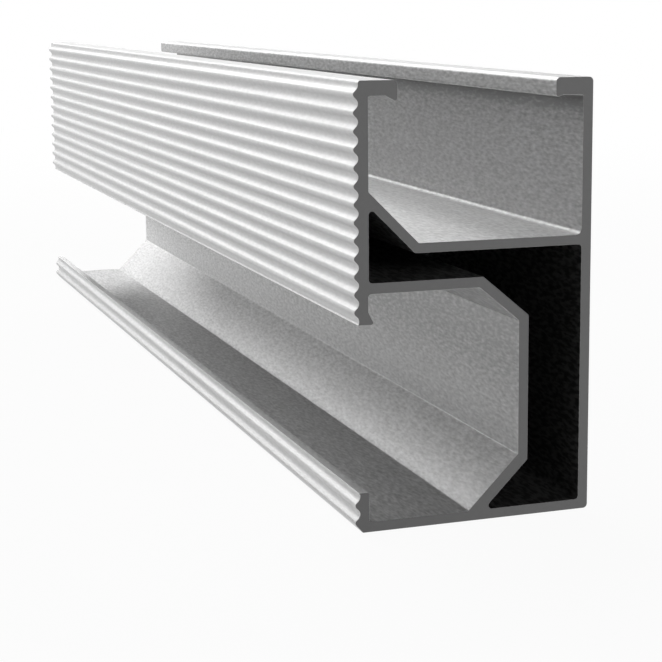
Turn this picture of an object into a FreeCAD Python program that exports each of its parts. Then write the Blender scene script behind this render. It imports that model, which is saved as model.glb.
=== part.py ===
import FreeCAD, Part
import math
import os

# Aluminium mounting rail: one extruded length with a toothed side, a channel open at the top,
# a channel open at the toothed side and a closed chamber between them.
# The section is drawn with x from the tooth crests and z from the underside, in millimetres.

rail_length = 250.0

# Both channels have a mouth of the same width, for the same nuts
mouth_width = 23.9

# Walls
wall = 1.5
inner_wall = 1.55
side_lip_wall = 1.4
top_floor_wall = 1.4
brace_wall = 1.4
lower_slope_wall = 1.75

# Teeth with 45 degree flanks, all on one row of steps that starts near the underside
tooth_pitch = 2.5
tooth_depth = 0.7
crest_radius = 0.5
lowest_crest = 1.5
underside_start = 1.1
# At each side flange's end the root turns out again, where the next flank would start
end_rise = 0.25
end_lean = 0.2

# Channel open at the toothed side, from the underside up
lower_lip_height = 5.8
flange_overhang = 4.3
nib_rise = 1.8
nib_reach = 0.9

# Chamber: flat upper part, tall part beside the right wall, and its sloping sides
chamber_height = 3.85
tall_chamber_width = 8.2
upper_slope_run = 7.1
upper_slope_angle = math.radians(40.0)
lower_slope_run = 6.8
brace_run = 6.8

# Channel open at the top
top_channel_depth = 22.6
left_lip_reach = 6.45
right_lip_reach = 5.85
left_lip_depth = 2.15
right_lip_depth = 2.5
left_nose_depth = 3.1
right_nose_depth = 2.95
left_nose_run = 1.75
right_nose_run = 1.1

# Corner radii
outer_radius = 0.65
mouth_radius = 0.7
corner_radius = 0.5
floor_radius = 0.65
bend_radius = 0.4
edge_radius = 0.3
nose_radius = 0.4
tip_radius = 0.05

# The teeth's sharp corners before rounding, and the room that a crest needs beside a flange's end
tip_share = math.sqrt(2.0) - 1.0
valley_radius = (tooth_pitch / 2 - tooth_depth) / tip_share - crest_radius
crest_tip = -crest_radius * tip_share
valley_tip = tooth_depth + valley_radius * tip_share
flank_run = tooth_depth - crest_tip
crest_room = tooth_pitch / 2 + end_rise + end_lean

# Heights, stacked up from the underside
upper_flange_end = lower_lip_height + mouth_width
roof = upper_flange_end + flange_overhang
shelf_top = roof + inner_wall
chamber_top = shelf_top + chamber_height
channel_floor = chamber_top + top_floor_wall
rail_height = channel_floor + top_channel_depth

# Widths, from the tooth crests across
left_face = tooth_depth + wall
side_lip_face = tooth_depth + side_lip_wall
mouth_right = left_lip_reach + mouth_width
rail_width = mouth_right + right_lip_reach
right_face = rail_width - inner_wall
back_wall_right = right_face - tall_chamber_width
back_wall_left = back_wall_right - inner_wall


def crest_height(step):
    return lowest_crest + step * tooth_pitch


def last_step(height):
    """The highest step whose crest has room below this height."""
    return math.floor((height - crest_room - lowest_crest) / tooth_pitch)


def first_step(height):
    """The lowest step whose crest has room above this height."""
    return math.ceil((height + crest_room - lowest_crest) / tooth_pitch)


def teeth(lowest, highest):
    """Corners of a run of teeth from its lowest crest up, and of the flat root above it."""
    corners = []
    for step in range(lowest, highest + 1):
        corners.append((crest_tip, crest_height(step), crest_radius))
        if step < highest:
            corners.append((valley_tip, crest_height(step) + tooth_pitch / 2, valley_radius))
    corners.append((tooth_depth, crest_height(highest) + flank_run, valley_radius))
    return corners


def lower_lip():
    corners = [(underside_start, 0, edge_radius)]
    corners += teeth(0, last_step(lower_lip_height))
    corners += [
        (tooth_depth, lower_lip_height - end_rise, edge_radius),
        (tooth_depth - end_lean, lower_lip_height, tip_radius),
        (side_lip_face, lower_lip_height, edge_radius),
        (side_lip_face, wall, edge_radius),
    ]
    return corners


def side_channel():
    """Lower slope, back wall, upper slope and roof of the channel behind the toothed side."""
    foot = back_wall_right - lower_slope_run - lower_slope_wall * math.sqrt(2.0)
    slope = math.tan(upper_slope_angle)
    slope_drop = inner_wall / math.cos(upper_slope_angle)
    slope_start = back_wall_right - upper_slope_run
    return [
        (foot, wall, bend_radius),
        (back_wall_left, wall + back_wall_left - foot, bend_radius),
        (back_wall_left, shelf_top - slope_drop - slope * (back_wall_left - slope_start), bend_radius),
        (slope_start + (inner_wall - slope_drop) / slope, roof, bend_radius),
        (side_lip_face, roof, corner_radius),
    ]


def upper_flange():
    lowest = first_step(upper_flange_end)
    corners = [
        (side_lip_face, upper_flange_end + nib_rise, bend_radius),
        (side_lip_face + nib_reach, upper_flange_end, edge_radius),
        (tooth_depth - end_lean, upper_flange_end, tip_radius),
        (tooth_depth, upper_flange_end + end_rise, edge_radius),
        (tooth_depth, crest_height(lowest) - flank_run, valley_radius),
    ]
    corners += teeth(lowest, last_step(rail_height))
    corners.append((tooth_depth, rail_height, bend_radius))
    return corners


def top_channel():
    """Left lip, brace, floor and right lip of the channel open at the top."""
    brace_foot = left_face + brace_run + brace_wall * math.sqrt(2.0) - top_floor_wall
    left_under = rail_height - left_lip_depth
    right_under = rail_height - right_lip_depth
    left_nose = rail_height - left_nose_depth
    right_nose = rail_height - right_nose_depth
    return [
        (left_lip_reach, rail_height, mouth_radius),
        (left_lip_reach, left_nose, nose_radius),
        (left_lip_reach - left_nose_run, left_under, bend_radius),
        (left_face, left_under, edge_radius),
        (left_face, channel_floor + brace_foot - left_face, bend_radius),
        (brace_foot, channel_floor, bend_radius),
        (right_face, channel_floor, floor_radius),
        (right_face, right_under, edge_radius),
        (mouth_right + right_nose_run, right_under, bend_radius),
        (mouth_right, right_nose, nose_radius),
        (mouth_right, rail_height, mouth_radius),
    ]


def outline():
    """The outside of the section with both open channels, clockwise from the lower left corner."""
    right_side = [(rail_width, rail_height, outer_radius), (rail_width, 0, outer_radius)]
    return lower_lip() + side_channel() + upper_flange() + top_channel() + right_side


def chamber():
    """The closed hollow, from the left end of the shelf round under the brace."""
    slope_drop = math.tan(upper_slope_angle) * upper_slope_run
    return [
        (left_face, shelf_top, corner_radius),
        (left_face, chamber_top + brace_run, corner_radius),
        (left_face + brace_run, chamber_top, bend_radius),
        (right_face, chamber_top, corner_radius),
        (right_face, wall, corner_radius),
        (back_wall_right - lower_slope_run, wall, corner_radius),
        (back_wall_right, wall + lower_slope_run, bend_radius),
        (back_wall_right, shelf_top - slope_drop, bend_radius),
        (back_wall_right - upper_slope_run, shelf_top, bend_radius),
    ]


def rounded_wire(corners):
    """A closed wire through the corners (x, z, radius), each one rounded by its own radius."""
    points = [FreeCAD.Vector(x, 0, z) for x, z, radius in corners]
    arcs = []
    for i, (x, z, radius) in enumerate(corners):
        back = (points[i - 1] - points[i]).normalize()
        ahead = (points[(i + 1) % len(points)] - points[i]).normalize()
        half_angle = back.getAngle(ahead) / 2
        reach = radius / math.tan(half_angle)
        middle = (back + ahead).normalize() * (radius / math.sin(half_angle) - radius)
        arcs.append((points[i] + back * reach, points[i] + middle, points[i] + ahead * reach))
    edges = []
    for i, (start, middle, end) in enumerate(arcs):
        edges.append(Part.Arc(start, middle, end).toShape())
        edges.append(Part.LineSegment(end, arcs[(i + 1) % len(arcs)][0]).toShape())
    return Part.Wire(edges)


def rail():
    section = Part.Face([rounded_wire(outline()), rounded_wire(chamber())])
    solid = section.extrude(FreeCAD.Vector(0, rail_length, 0))
    solid.translate(FreeCAD.Vector(-rail_width / 2, -rail_length / 2, 0))
    return solid


os.makedirs("parts", exist_ok=True)
rail().exportStep("parts/rail.step")
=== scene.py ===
import math

import bpy
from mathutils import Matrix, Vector


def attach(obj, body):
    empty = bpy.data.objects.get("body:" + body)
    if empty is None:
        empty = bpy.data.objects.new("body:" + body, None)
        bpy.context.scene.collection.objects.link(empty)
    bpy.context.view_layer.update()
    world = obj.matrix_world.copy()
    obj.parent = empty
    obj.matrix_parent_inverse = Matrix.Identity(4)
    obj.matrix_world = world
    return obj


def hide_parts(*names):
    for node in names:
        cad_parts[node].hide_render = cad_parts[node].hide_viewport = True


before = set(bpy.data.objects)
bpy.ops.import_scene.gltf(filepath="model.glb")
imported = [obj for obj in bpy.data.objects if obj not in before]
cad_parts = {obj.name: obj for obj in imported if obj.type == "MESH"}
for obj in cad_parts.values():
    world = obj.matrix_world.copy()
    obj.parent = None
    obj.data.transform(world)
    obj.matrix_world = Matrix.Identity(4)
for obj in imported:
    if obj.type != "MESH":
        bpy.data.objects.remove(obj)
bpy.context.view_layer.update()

MM = 0.001

# Sizes of the rail's section in millimetres, from the tooth crests across and from the underside up
RAIL_LENGTH = 250.0
RAIL_WIDTH = 36.2
RAIL_HEIGHT = 63.4
MOUTH_WIDTH = 23.9
WALL = 1.5
INNER_WALL = 1.55
SIDE_LIP_WALL = 1.4
TOP_FLOOR_WALL = 1.4
BRACE_WALL = 1.4
LOWER_SLOPE_WALL = 1.75

# The teeth, counted in pitches from the lowest crest, and the sharp turn at a side flange's end
TOOTH_PITCH = 2.5
TOOTH_DEPTH = 0.7
CREST_RADIUS = 0.5
LOWEST_CREST = 1.5
LOWER_TEETH = range(0, 2)
UPPER_TEETH = range(12, 25)
UNDERSIDE_START = 1.1
END_RISE = 0.25
END_LEAN = 0.2

# The side channel and the chamber
LOWER_LIP_HEIGHT = 5.8
NIB_RISE = 1.8
NIB_REACH = 0.9
ROOF = 34.0
CHAMBER_HEIGHT = 3.85
TALL_CHAMBER_WIDTH = 8.2
UPPER_SLOPE_RUN = 7.1
UPPER_SLOPE = math.tan(math.radians(40.0))
LOWER_SLOPE_RUN = 6.8
BRACE_RUN = 6.8

# The top channel's lips, each with a nose along its edge
LEFT_LIP_REACH = 6.45
LEFT_LIP_DEPTH = 2.15
LEFT_NOSE_DEPTH = 3.1
LEFT_NOSE_RUN = 1.75
RIGHT_LIP_DEPTH = 2.5
RIGHT_NOSE_DEPTH = 2.95
RIGHT_NOSE_RUN = 1.1

# Corner radii
OUTER_RADIUS = 0.65
MOUTH_RADIUS = 0.7
CORNER_RADIUS = 0.5
BEND_RADIUS = 0.4
NOSE_RADIUS = 0.4
EDGE_RADIUS = 0.3
TIP_RADIUS = 0.05
FLOOR_RADIUS = 0.9
BACK_WALL_FOOT_RADIUS = 0.15

# The tiny break along the sawn edges, how finely it and the rounded corners are drawn, and how
# close two points are the same
SAWN_EDGE_BREAK = 0.04
STATIONS = 6
CORNER_STEPS = 6
MERGE_DISTANCE = 0.001

# How far a mask for one flat face reaches to both sides of it, and how wide a mask's soft edge is
FACE_REACH = 0.2
MASK_EDGE = 0.3


class Signal:
    """An output socket. Arithmetic on signals and numbers adds Math nodes to the socket's tree."""

    def __init__(self, socket):
        self.socket = socket

    def node(self, kind, settings={}, inputs={}, output=0):
        """Adds a node: its settings first, then each input's value or link, by name or place."""
        tree = self.socket.id_data
        node = tree.nodes.new(kind)
        for name, value in settings.items():
            setattr(node, name, value)
        for name, value in inputs.items():
            for item in value if isinstance(value, list) else [value]:
                if isinstance(item, Signal):
                    tree.links.new(item.socket, node.inputs[name])
                else:
                    node.inputs[name].default_value = item
        return Signal(node.outputs[output]) if node.outputs else None

    def beside(self, output):
        """Another output of the same node."""
        return Signal(self.socket.node.outputs[output])

    def maths(self, operation, *values):
        return self.node("ShaderNodeMath", {"operation": operation}, dict(enumerate(values)))

    def limited(self):
        """The signal held between 0 and 1."""
        return self.node("ShaderNodeClamp", {}, {"Value": self})

    def step(self, low, high):
        """0 below low, 1 above high, smooth in between. Runs the other way when high is lower."""
        return self.node("ShaderNodeMapRange", {"interpolation_type": "SMOOTHSTEP"}, {
            "Value": self, "From Min": low, "From Max": high})

    def between(self, low, high):
        """1 between low and high, with a soft edge beyond each."""
        return self.step(low - MASK_EDGE, low) * self.step(high + MASK_EDGE, high)

    def near(self, face):
        """1 at a flat face and close to it, with a soft edge beyond."""
        return self.between(face - FACE_REACH, face + FACE_REACH)

    def __add__(self, other):
        return self.maths("ADD", self, other)

    __radd__ = __add__

    def __sub__(self, other):
        return self.maths("SUBTRACT", self, other)

    def __rsub__(self, other):
        return self.maths("SUBTRACT", other, self)

    def __mul__(self, other):
        return self.maths("MULTIPLY", self, other)

    __rmul__ = __mul__

    def __lt__(self, other):
        return self.maths("LESS_THAN", self, other)

    def __gt__(self, other):
        return self.maths("GREATER_THAN", self, other)


# Places in the section that follow from the sizes, and the teeth's sharp corners before rounding
TIP_SHARE = math.sqrt(2.0) - 1.0
VALLEY_RADIUS = (TOOTH_PITCH / 2 - TOOTH_DEPTH) / TIP_SHARE - CREST_RADIUS
CREST_TIP = -CREST_RADIUS * TIP_SHARE
VALLEY_TIP = TOOTH_DEPTH + VALLEY_RADIUS * TIP_SHARE
FLANK_RUN = TOOTH_DEPTH - CREST_TIP
FLANGE_END = LOWER_LIP_HEIGHT + MOUTH_WIDTH
SHELF_TOP = ROOF + INNER_WALL
CHAMBER_TOP = SHELF_TOP + CHAMBER_HEIGHT
CHANNEL_FLOOR = CHAMBER_TOP + TOP_FLOOR_WALL
LEFT_FACE = TOOTH_DEPTH + WALL
SIDE_LIP_FACE = TOOTH_DEPTH + SIDE_LIP_WALL
MOUTH_RIGHT = LEFT_LIP_REACH + MOUTH_WIDTH
RIGHT_FACE = RAIL_WIDTH - INNER_WALL
BACK_WALL_RIGHT = RIGHT_FACE - TALL_CHAMBER_WIDTH
BACK_WALL_LEFT = BACK_WALL_RIGHT - INNER_WALL


def teeth(steps):
    """Corners (x, z, radius) of a run of teeth, upwards, with the flat root above the last one."""
    corners = []
    for step in steps:
        crest = LOWEST_CREST + step * TOOTH_PITCH
        corners.append((CREST_TIP, crest, CREST_RADIUS))
        if step < steps[-1]:
            corners.append((VALLEY_TIP, crest + TOOTH_PITCH / 2, VALLEY_RADIUS))
    corners.append((TOOTH_DEPTH, crest + FLANK_RUN, VALLEY_RADIUS))
    return corners


def lower_lip_corners():
    return [(UNDERSIDE_START, 0.0, EDGE_RADIUS)] + teeth(LOWER_TEETH) + [
        (TOOTH_DEPTH, LOWER_LIP_HEIGHT - END_RISE, EDGE_RADIUS),
        (TOOTH_DEPTH - END_LEAN, LOWER_LIP_HEIGHT, TIP_RADIUS),
        (SIDE_LIP_FACE, LOWER_LIP_HEIGHT, EDGE_RADIUS),
        (SIDE_LIP_FACE, WALL, EDGE_RADIUS),
    ]


def side_channel_corners():
    """Lower slope, back wall, upper slope and roof of the side channel."""
    foot = BACK_WALL_RIGHT - LOWER_SLOPE_RUN - LOWER_SLOPE_WALL * math.sqrt(2.0)
    drop = INNER_WALL * math.hypot(1.0, UPPER_SLOPE)
    start = BACK_WALL_RIGHT - UPPER_SLOPE_RUN
    back_wall_top = SHELF_TOP - drop - UPPER_SLOPE * (BACK_WALL_LEFT - start)
    return [
        (foot, WALL, BEND_RADIUS),
        (BACK_WALL_LEFT, WALL + BACK_WALL_LEFT - foot, BACK_WALL_FOOT_RADIUS),
        (BACK_WALL_LEFT, back_wall_top, BEND_RADIUS),
        (start + (INNER_WALL - drop) / UPPER_SLOPE, ROOF, BEND_RADIUS),
        (SIDE_LIP_FACE, ROOF, CORNER_RADIUS),
    ]


def upper_flange_corners():
    lowest_crest = LOWEST_CREST + UPPER_TEETH[0] * TOOTH_PITCH
    return [
        (SIDE_LIP_FACE, FLANGE_END + NIB_RISE, BEND_RADIUS),
        (SIDE_LIP_FACE + NIB_REACH, FLANGE_END, EDGE_RADIUS),
        (TOOTH_DEPTH - END_LEAN, FLANGE_END, TIP_RADIUS),
        (TOOTH_DEPTH, FLANGE_END + END_RISE, EDGE_RADIUS),
        (TOOTH_DEPTH, lowest_crest - FLANK_RUN, VALLEY_RADIUS),
    ] + teeth(UPPER_TEETH) + [(TOOTH_DEPTH, RAIL_HEIGHT, BEND_RADIUS)]


def top_channel_corners():
    """Left lip, brace, floor and right lip of the top channel."""
    brace_foot = LEFT_FACE + BRACE_RUN + BRACE_WALL * math.sqrt(2.0) - TOP_FLOOR_WALL
    left_under = RAIL_HEIGHT - LEFT_LIP_DEPTH
    right_under = RAIL_HEIGHT - RIGHT_LIP_DEPTH
    return [
        (LEFT_LIP_REACH, RAIL_HEIGHT, MOUTH_RADIUS),
        (LEFT_LIP_REACH, RAIL_HEIGHT - LEFT_NOSE_DEPTH, NOSE_RADIUS),
        (LEFT_LIP_REACH - LEFT_NOSE_RUN, left_under, BEND_RADIUS),
        (LEFT_FACE, left_under, EDGE_RADIUS),
        (LEFT_FACE, CHANNEL_FLOOR + brace_foot - LEFT_FACE, BEND_RADIUS),
        (brace_foot, CHANNEL_FLOOR, BEND_RADIUS),
        (RIGHT_FACE, CHANNEL_FLOOR, FLOOR_RADIUS),
        (RIGHT_FACE, right_under, EDGE_RADIUS),
        (MOUTH_RIGHT + RIGHT_NOSE_RUN, right_under, BEND_RADIUS),
        (MOUTH_RIGHT, RAIL_HEIGHT - RIGHT_NOSE_DEPTH, NOSE_RADIUS),
        (MOUTH_RIGHT, RAIL_HEIGHT, MOUTH_RADIUS),
    ]


def outline_corners():
    """The outside of the section with both open channels, clockwise from the lower left corner."""
    right_side = [(RAIL_WIDTH, RAIL_HEIGHT, OUTER_RADIUS), (RAIL_WIDTH, 0.0, OUTER_RADIUS)]
    left_side = lower_lip_corners() + side_channel_corners() + upper_flange_corners()
    return left_side + top_channel_corners() + right_side


def chamber_corners():
    """The closed hollow, clockwise from the left end of the shelf."""
    return [
        (LEFT_FACE, SHELF_TOP, CORNER_RADIUS),
        (LEFT_FACE, CHAMBER_TOP + BRACE_RUN, CORNER_RADIUS),
        (LEFT_FACE + BRACE_RUN, CHAMBER_TOP, BEND_RADIUS),
        (RIGHT_FACE, CHAMBER_TOP, CORNER_RADIUS),
        (RIGHT_FACE, WALL, CORNER_RADIUS),
        (BACK_WALL_RIGHT - LOWER_SLOPE_RUN, WALL, CORNER_RADIUS),
        (BACK_WALL_RIGHT, WALL + LOWER_SLOPE_RUN, BEND_RADIUS),
        (BACK_WALL_RIGHT, SHELF_TOP - UPPER_SLOPE * UPPER_SLOPE_RUN, BEND_RADIUS),
        (BACK_WALL_RIGHT - UPPER_SLOPE_RUN, SHELF_TOP, BEND_RADIUS),
    ]


def section_wire():
    """A mesh of two loops of sharp corners, flat in XY, each corner with its radius.
    The outside runs anticlockwise and the chamber clockwise, so the swept walls face outwards."""
    loops = [outline_corners()[::-1], chamber_corners()]
    corners, edges = [], []
    for loop in loops:
        first, count = len(corners), len(loop)
        corners += loop
        edges += [(first + i, first + (i + 1) % count) for i in range(count)]
    places = [((x - RAIL_WIDTH / 2) * MM, z * MM, 0.0) for x, z, radius in corners]
    mesh = bpy.data.meshes.new("rail_section")
    mesh.from_pydata(places, edges, [])
    radii = mesh.attributes.new("corner_radius", "FLOAT", "POINT")
    radii.data.foreach_set("value", [radius * MM for x, z, radius in corners])
    hollow = mesh.attributes.new("hollow", "FLOAT", "POINT")
    hollow.data.foreach_set("value", [0.0] * len(loops[0]) + [1.0] * len(loops[1]))
    return mesh


def store(geometry, name, value, domain="POINT", kind="FLOAT"):
    return geometry.node("GeometryNodeStoreNamedAttribute", {"data_type": kind, "domain": domain}, {
        "Geometry": geometry, "Name": name, "Value": value})


def stored(signal, name, kind="FLOAT"):
    return signal.node("GeometryNodeInputNamedAttribute", {"data_type": kind}, {"Name": name})


def rounded_section(section):
    """The section's loops as curves with round corners, each point knowing which way is inwards."""
    loops = section.node("GeometryNodeMeshToCurve", {}, {"Mesh": section})
    rounded = section.node("GeometryNodeFilletCurve", {"mode": "POLY"}, {
        "Curve": loops,
        "Count": section.beside("Corner Steps"),
        "Radius": stored(section, "corner_radius")})
    tangent = section.node("GeometryNodeInputTangent")
    inward = section.node("ShaderNodeVectorMath", {"operation": "CROSS_PRODUCT"}, {
        0: (0.0, 0.0, 1.0), 1: tangent})
    return store(rounded, "inward", inward, kind="FLOAT_VECTOR")


def sweep_line(section):
    """The line to sweep along. Half of its stations stand at each end and turn the sawn edge
    through a small quarter round, and each knows how far the section is drawn in there."""
    length, edge_break = section.beside("Length"), section.beside("Edge Break")
    last = STATIONS - 1
    quarter_step = math.pi / 2 / (STATIONS // 2 - 1)
    line = section.node("GeometryNodeCurvePrimitiveLine", {}, {"End": (0.0, 0.0, 1.0)})
    line = section.node("GeometryNodeResampleCurve", {"mode": "COUNT"}, {
        "Curve": line, "Count": STATIONS})
    station = section.node("GeometryNodeInputIndex")
    turn = station.maths("MINIMUM", station, last - station) * quarter_step
    setback = edge_break * (1 - turn.maths("COSINE", turn))
    side = 1 - 2 * (station < last / 2)
    place = section.node("ShaderNodeCombineXYZ", {}, {"Z": side * (length * 0.5 - setback)})
    line = section.node("GeometryNodeSetPosition", {}, {"Geometry": line, "Position": place})
    return store(line, "inset", edge_break * (1 - turn.maths("SINE", turn)))


def moved_inwards(geometry, distance):
    move = geometry.node("ShaderNodeVectorMath", {"operation": "SCALE"}, {
        0: stored(geometry, "inward", "FLOAT_VECTOR"), "Scale": distance})
    return geometry.node("GeometryNodeSetPosition", {}, {"Geometry": geometry, "Offset": move})


def sawn_faces(section, rounded):
    """Both flat end faces, drawn in by the edge break, each face marked as sawn."""
    rim = moved_inwards(rounded, section.beside("Edge Break"))
    face = section.node("GeometryNodeFillCurve", {"mode": "TRIANGLES"}, {"Curve": rim})
    flipped = section.node("GeometryNodeFlipFaces", {}, {"Mesh": face})
    ends = []
    for share, mesh in ((0.5, face), (-0.5, flipped)):
        place = section.node("ShaderNodeCombineXYZ", {}, {"Z": section.beside("Length") * share})
        ends.append(section.node("GeometryNodeTransform", {}, {
            "Geometry": mesh, "Translation": place}))
    both = section.node("GeometryNodeJoinGeometry", {}, {"Geometry": ends})
    return store(both, "sawn", 1.0, domain="FACE")


def sawn_extrusion_tree():
    """Rounds a section's corners, sweeps it to a length, breaks the sawn edges and closes the ends.
    The section comes in flat in XY, and the rail is laid along Y at the end."""
    tree = bpy.data.node_groups.new("sawn_extrusion", "GeometryNodeTree")
    for name, kind in (
        ("Section", "Geometry"),
        ("Length", "Float"),
        ("Edge Break", "Float"),
        ("Corner Steps", "Int"),
        ("Outer Skin", "Material"),
        ("Hollow Skin", "Material"),
        ("Sawn Face", "Material"),
    ):
        tree.interface.new_socket(name, in_out="INPUT", socket_type="NodeSocket" + kind)
    tree.interface.new_socket("Rail", in_out="OUTPUT", socket_type="NodeSocketGeometry")
    section = Signal(tree.nodes.new("NodeGroupInput").outputs["Section"])

    rounded = rounded_section(section)
    walls = section.node("GeometryNodeCurveToMesh", {}, {
        "Curve": sweep_line(section), "Profile Curve": rounded})
    walls = moved_inwards(walls, stored(section, "inset"))
    rail = section.node("GeometryNodeJoinGeometry", {}, {
        "Geometry": [walls, sawn_faces(section, rounded)]})
    rail = section.node("GeometryNodeMergeByDistance", {}, {
        "Geometry": rail, "Distance": MERGE_DISTANCE * MM})
    rail = section.node("GeometryNodeSetShadeSmooth", {}, {"Geometry": rail, "Shade Smooth": True})
    # An edge between a sawn face and a wall has the mean of both, 0.5, and is the only sharp one
    sawn = stored(section, "sawn")
    rim = (sawn > 0.25) * (sawn < 0.75)
    rail = section.node("GeometryNodeSetShadeSmooth", {"domain": "EDGE"}, {
        "Geometry": rail, "Selection": rim, "Shade Smooth": False})
    rail = section.node("GeometryNodeTransform", {}, {
        "Geometry": rail, "Rotation": (math.pi / 2, 0.0, 0.0)})
    rail = section.node("GeometryNodeRealizeInstances", {}, {"Geometry": rail})
    for finish, where in (
        ("Outer Skin", None),
        ("Hollow Skin", stored(section, "hollow") > 0.5),
        ("Sawn Face", sawn > 0.5),
    ):
        inputs = {"Geometry": rail, "Material": section.beside(finish)}
        if where:
            inputs["Selection"] = where
        rail = section.node("GeometryNodeSetMaterial", {}, inputs)
    section.node("NodeGroupOutput", {}, {"Rail": rail})
    return tree


def build_rail(outer_skin, hollow_skin, sawn_face):
    rail = bpy.data.objects.new("extruded_rail", section_wire())
    bpy.context.scene.collection.objects.link(rail)
    modifier = rail.modifiers.new("sawn_extrusion", "NODES")
    modifier.node_group = sawn_extrusion_tree()
    wanted = {
        "Length": RAIL_LENGTH * MM,
        "Edge Break": SAWN_EDGE_BREAK * MM,
        "Corner Steps": CORNER_STEPS,
        "Outer Skin": outer_skin,
        "Hollow Skin": hollow_skin,
        "Sawn Face": sawn_face,
    }
    for item in modifier.node_group.interface.items_tree:
        if item.name in wanted:
            modifier[item.identifier] = wanted[item.name]
    # The flats keep their own normal right up to the rounded corners
    shading = rail.modifiers.new("even_flats", "WEIGHTED_NORMAL")
    shading.weight = 100
    shading.thresh = 1e-9
    shading.keep_sharp = True
    evaluated = rail.evaluated_get(bpy.context.evaluated_depsgraph_get())
    mesh = bpy.data.meshes.new_from_object(evaluated)
    rail.modifiers.clear()
    rail.data = mesh
    for name in ("corner_radius", "hollow", "inward", "inset", "sawn"):
        mesh.attributes.remove(mesh.attributes[name])
    return rail


def new_material(name):
    """A material, its bare Principled shader and a first signal: the place on the object."""
    material = bpy.data.materials.new(name)
    material.use_nodes = True
    tree = material.node_tree
    place = Signal(tree.nodes.new("ShaderNodeTexCoord").outputs["Object"])
    return material, tree.nodes["Principled BSDF"], place


def noise(place, waves, detail, roughness, stretch=None):
    """Noise about 0, with this many waves to a metre, times the stretch in each direction."""
    if stretch:
        place = place.node("ShaderNodeVectorMath", {"operation": "MULTIPLY"}, {
            0: place, 1: stretch})
    cloud = place.node("ShaderNodeTexNoise", {}, {
        "Vector": place, "Scale": waves, "Detail": detail, "Roughness": roughness})
    return cloud - 0.5


# Where the skin's painted shade and painted light lie, in millimetres, inside their corners
BACK_WALL_HEIGHTS = (9.3, 28.7)
RIGHT_WALL_HEIGHTS = (41.0, 60.9)
NOSE_HEIGHTS = (60.8, 62.6)
UPPER_SLOPE_WIDTHS = (19.1, 24.6)
UPPER_SLOPE_HEIGHTS = (29.2, 33.7)
CHANNEL_FLOOR_WIDTHS = (10.0, 33.9)

# Their painted shade and light, and the bottom web's darker grey, as shares of the way from the
# darkest to the brightest grain, and for each that grows the heights, or widths on the floor,
# between which it does
BACK_WALL_PALE = 0.28
BACK_WALL_FADE, BACK_WALL_FADE_SPAN = 0.66, (8.5, 24.0)
RIGHT_WALL_DARK = 0.05
RIGHT_WALL_FADE, RIGHT_WALL_FADE_SPAN = 0.28, (54.0, 61.0)
UNDER_LIP_DARK, UNDER_LIP_SPAN = 0.24, (57.8, 59.2)
WALL_FOOT_DARK, WALL_FOOT_SPAN = 0.1, (51.0, 43.0)
NOSE_DARK = 0.12
UPPER_SLOPE_PALE, UPPER_SLOPE_SPAN = 0.27, (33.4, 29.4)
CHANNEL_FLOOR_PALE = 0.14
FLOOR_EDGE_PALE, FLOOR_EDGE_SPAN = 0.28, (27.5, 32.5)
BOTTOM_WEB_DARK, BOTTOM_WEB_SPAN = 0.15, (2.2, 1.6)


def painted_skin_shading(across, height):
    """Painted shade and light on the skin: both channels' walls fade darker upwards in painted
    shade, with a painted shadow under the right lip and painted shade on the right wall's foot and
    the lip's nose; the bottom web is a little darker; and the upper slope and the top channel's
    floor, most beside the wall, get painted light."""
    back_wall = across.near(BACK_WALL_LEFT) * height.between(*BACK_WALL_HEIGHTS)
    right_wall = across.near(RIGHT_FACE) * height.between(*RIGHT_WALL_HEIGHTS)
    nose = across.near(MOUTH_RIGHT) * height.between(*NOSE_HEIGHTS)
    upper_slope = across.between(*UPPER_SLOPE_WIDTHS) * height.between(*UPPER_SLOPE_HEIGHTS)
    channel_floor = across.between(*CHANNEL_FLOOR_WIDTHS) * height.near(CHANNEL_FLOOR)
    back_wall_pale = BACK_WALL_PALE - BACK_WALL_FADE * height.step(*BACK_WALL_FADE_SPAN)
    right_wall_dark = (
        RIGHT_WALL_DARK
        + RIGHT_WALL_FADE * height.step(*RIGHT_WALL_FADE_SPAN)
        + UNDER_LIP_DARK * height.step(*UNDER_LIP_SPAN)
        + WALL_FOOT_DARK * height.step(*WALL_FOOT_SPAN))
    floor_pale = CHANNEL_FLOOR_PALE + FLOOR_EDGE_PALE * across.step(*FLOOR_EDGE_SPAN)
    return (
        back_wall * back_wall_pale
        - right_wall * right_wall_dark
        - nose * NOSE_DARK
        + upper_slope * (UPPER_SLOPE_PALE * height.step(*UPPER_SLOPE_SPAN))
        + channel_floor * floor_pale
        - height.step(*BOTTOM_WEB_SPAN) * BOTTOM_WEB_DARK)


# The fine grain is drawn out along the rail, and so are the lines that the die leaves
GRAIN_STRETCH = (1.0, 0.28, 1.0)
DIE_LINE_STRETCH = (1600.0, 5.0, 1600.0)
MOTTLE_WAVES = 90.0
MOTTLE = 0.06
# How much of the grain is gone where the metal is smooth, and how far down the lips' tops reach
GRAIN_LOST = 0.7
LIP_TOP_START, LIP_TOP_FULL = 0.6, 0.2
# What grain and lines do to the relief and the roughness
RELIEF_HEIGHT = 0.04 * MM
GRAIN_RELIEF = 0.6
GRAIN_ROUGHNESS = 0.12
LINE_ROUGHNESS = 0.1
# Width plus height of the section's middle, where the painted rise of light and shade is nil
SECTION_MIDDLE = 50.0


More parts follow.
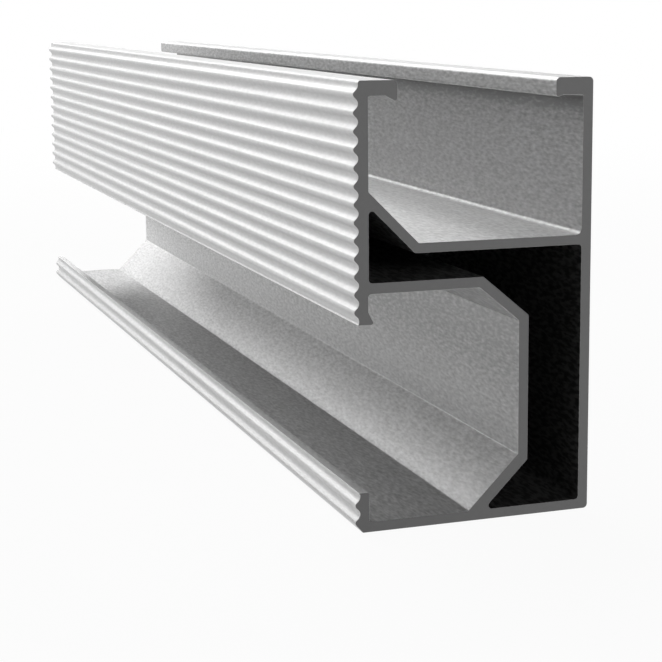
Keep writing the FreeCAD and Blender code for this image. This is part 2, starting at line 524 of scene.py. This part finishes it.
def metal(name, level, spread, roughness, grain_size, grain, relief,
          die_lines=0.0, painted_light=0.0, painted_rise=0.0, painted_shading=False):
    """Bare aluminium of this grey, its darkest and brightest grains apart from it by the spread.
    The grain size is in millimetres. The teeth and the lips' tops are smoother, and brighter by
    the given painted light. A rise of painted light and shade makes the metal paler towards the
    top right of the section, and painted shading gives the skin's painted shade and light."""
    material, shader, place = new_material(name)
    side = place.node("ShaderNodeSeparateXYZ", {}, {0: place})
    across, height = side * (1 / MM) + RAIL_WIDTH / 2, side.beside(2) * (1 / MM)
    teeth_side = across.step(LEFT_FACE, TOOTH_DEPTH)
    lip_tops = height.step(RAIL_HEIGHT - LIP_TOP_START, RAIL_HEIGHT - LIP_TOP_FULL)
    # The teeth and the lips' tops: smoother grain, and the painted light that brightens them
    smooth = teeth_side.maths("MAXIMUM", teeth_side, lip_tops)
    grains = noise(place, 1.0 / (grain_size * MM), detail=1.0, roughness=0.6, stretch=GRAIN_STRETCH)
    fine = grains * (1 - GRAIN_LOST * smooth)
    lines = noise(place, 1.0, detail=2.0, roughness=0.6, stretch=DIE_LINE_STRETCH)
    mottle = noise(place, MOTTLE_WAVES, detail=2.0, roughness=0.5)
    tone = 0.5 + fine * grain + lines * die_lines + mottle * MOTTLE + smooth * painted_light
    if painted_shading:
        tone = tone + painted_skin_shading(across, height)
    if painted_rise:
        tone = tone + (across + height - SECTION_MIDDLE) * painted_rise
    dark, bright = level * (1 - spread), level * (1 + spread)
    colour = place.node("ShaderNodeMix", {"data_type": "RGBA"}, {
        0: tone.limited(), 6: (dark, dark, dark, 1.0), 7: (bright, bright, bright, 1.0)}, output=2)
    rough = roughness + fine * GRAIN_ROUGHNESS + lines * LINE_ROUGHNESS
    bump = place.node("ShaderNodeBump", {}, {
        "Height": fine * GRAIN_RELIEF + lines, "Strength": relief, "Distance": RELIEF_HEIGHT})
    links = material.node_tree.links
    links.new(colour.socket, shader.inputs["Base Color"])
    links.new(rough.socket, shader.inputs["Roughness"])
    links.new(bump.socket, shader.inputs["Normal"])
    shader.inputs["Metallic"].default_value = 1.0
    return material


# The skin has painted shade and light on its channels, and painted light on the teeth and lips'
# tops
outer_skin = metal(
    "matt_skin", level=0.60, spread=0.4, roughness=0.53, grain_size=0.45, grain=1.15, relief=0.25,
    die_lines=0.18, painted_light=0.08, painted_shading=True)
# The hollow's dark grey is painted shade: the closed chamber is the same metal as the skin
hollow_skin = metal(
    "hollow_skin", level=0.27, spread=0.38, roughness=0.5, grain_size=0.55, grain=5.0, relief=0.3,
    die_lines=0.35)
# The sawn ends' grey is partly a duller sawn finish and partly painted shade, the rise painted
# light
sawn_face = metal(
    "sawn_face", level=0.185, spread=0.2, roughness=0.55, grain_size=0.3, grain=0.2, relief=0.05,
    painted_rise=0.0083)
rail = build_rail(outer_skin, hollow_skin, sawn_face)
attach(rail, "root")
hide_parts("rail")

# The studio, in metres. The floor lies just under the rail, so that they don't share a plane.
FLOOR_LEVEL = -0.0001
FLOOR_REACH = 6.0
BACKDROP_REACH = 1.8
BACKDROP_DISTANCE = 1.5
BACKDROP_TOP = 0.12
# Distances from the rail's middle between which the paper turns plain white
WHITENING = (0.15, 0.7)
SOFTBOX_DISTANCE = 1.4
SOFTBOX_SIZE = 0.45
AIM_HEIGHT = 0.03


def stage_sheet(name, reach, front, back, material):
    """A sheet that reaches as far to both sides, between two edges given as (y, z)."""
    mesh = bpy.data.meshes.new(name)
    corners = [(-reach, *front), (reach, *front), (reach, *back), (-reach, *back)]
    mesh.from_pydata(corners, [], [(0, 1, 2, 3)])
    mesh.materials.append(material)
    sheet = bpy.data.objects.new(name, mesh)
    bpy.context.scene.collection.objects.link(sheet)


def paper_material(name, white):
    """Pale paper. Near the rail this share of it is plain white to the camera and in reflections,
    further off all of it, and the rest takes the lamps' light and the rail's shadow."""
    material, shader, place = new_material(name)
    tree = material.node_tree
    shader.inputs["Base Color"].default_value = (0.9, 0.9, 0.9, 1.0)
    shader.inputs["Roughness"].default_value = 0.9
    shader.inputs["Specular IOR Level"].default_value = 0.1
    away = place.node("ShaderNodeVectorMath", {"operation": "LENGTH"}, {0: place}, output=1)
    share = white + (1 - white) * away.step(*WHITENING)
    ray = Signal(tree.nodes.new("ShaderNodeLightPath").outputs["Is Camera Ray"])
    seen = ray.maths("MAXIMUM", ray, ray.beside("Is Glossy Ray"))
    seen = seen.maths("MAXIMUM", seen, ray.beside("Is Transmission Ray"))
    plain_white = place.node("ShaderNodeEmission", {}, {
        "Color": (1.0, 1.0, 1.0, 1.0), "Strength": 1.0})
    mix = place.node("ShaderNodeMixShader", {}, {
        0: share * seen, 1: Signal(shader.outputs[0]), 2: plain_white})
    tree.links.new(mix.socket, tree.nodes["Material Output"].inputs["Surface"])
    return material


stage_sheet(
    "floor", FLOOR_REACH, (-FLOOR_REACH, FLOOR_LEVEL), (FLOOR_REACH, FLOOR_LEVEL),
    paper_material("floor_paper", white=0.95))
stage_sheet(
    "backdrop", BACKDROP_REACH, (BACKDROP_DISTANCE, FLOOR_LEVEL), (BACKDROP_DISTANCE, BACKDROP_TOP),
    paper_material("backdrop_paper", white=1.0))


def softbox(name, azimuth, elevation, brightness):
    """A soft panel aimed at the rail. Azimuth turns from +Y towards -X."""
    a, e = math.radians(azimuth), math.radians(elevation)
    outwards = Vector((-math.sin(a) * math.cos(e), math.cos(a) * math.cos(e), math.sin(e)))
    data = bpy.data.lights.new(name, "AREA")
    data.shape = "SQUARE"
    data.size = SOFTBOX_SIZE
    data.energy = brightness * math.pi * SOFTBOX_SIZE * SOFTBOX_SIZE
    light = bpy.data.objects.new(name, data)
    light.location = Vector((0.0, 0.0, AIM_HEIGHT)) + outwards * SOFTBOX_DISTANCE
    light.rotation_euler = (-outwards).to_track_quat("-Z", "Y").to_euler()
    light.visible_camera = False
    bpy.context.scene.collection.objects.link(light)


for name, azimuth, elevation, brightness in (
    ("low_softbox", 30, 6, 0.6),
    ("low_left_softbox", 30, 14, 2.9),
    ("right_softbox", -30, 24, 2.2),
    ("middle_softbox", 10, 24, 4.2),
    ("high_right_softbox", -10, 38, 5.5),
    ("high_left_softbox", 30, 38, 3.6),
    ("top_softbox", 10, 54, 5.8),
    ("front_softbox", 180, 20, 4.4),
):
    softbox(name, azimuth, elevation, brightness)
world = bpy.data.worlds.new("studio")
bpy.context.scene.world = world
world.use_nodes = True
world.node_tree.nodes["Background"].inputs["Color"].default_value = (0.05, 0.05, 0.05, 1.0)

camera_data = bpy.data.cameras.new("photo_camera")
camera_data.sensor_width = 36.0
camera_data.lens = 95.276
camera_data.shift_x = -0.14085
camera_data.shift_y = -0.06366
camera_data.clip_start = 0.01
camera_data.clip_end = 50.0
camera = bpy.data.objects.new("photo_camera", camera_data)
camera.location = (-0.095013, -0.350223, 0.073697)
looks_along = Vector((0.35662, 0.92029, -0.16090))
camera.rotation_euler = looks_along.to_track_quat("-Z", "Y").to_euler()
bpy.context.scene.collection.objects.link(camera)
bpy.context.scene.camera = camera
bpy.context.scene.view_settings.view_transform = "Standard"
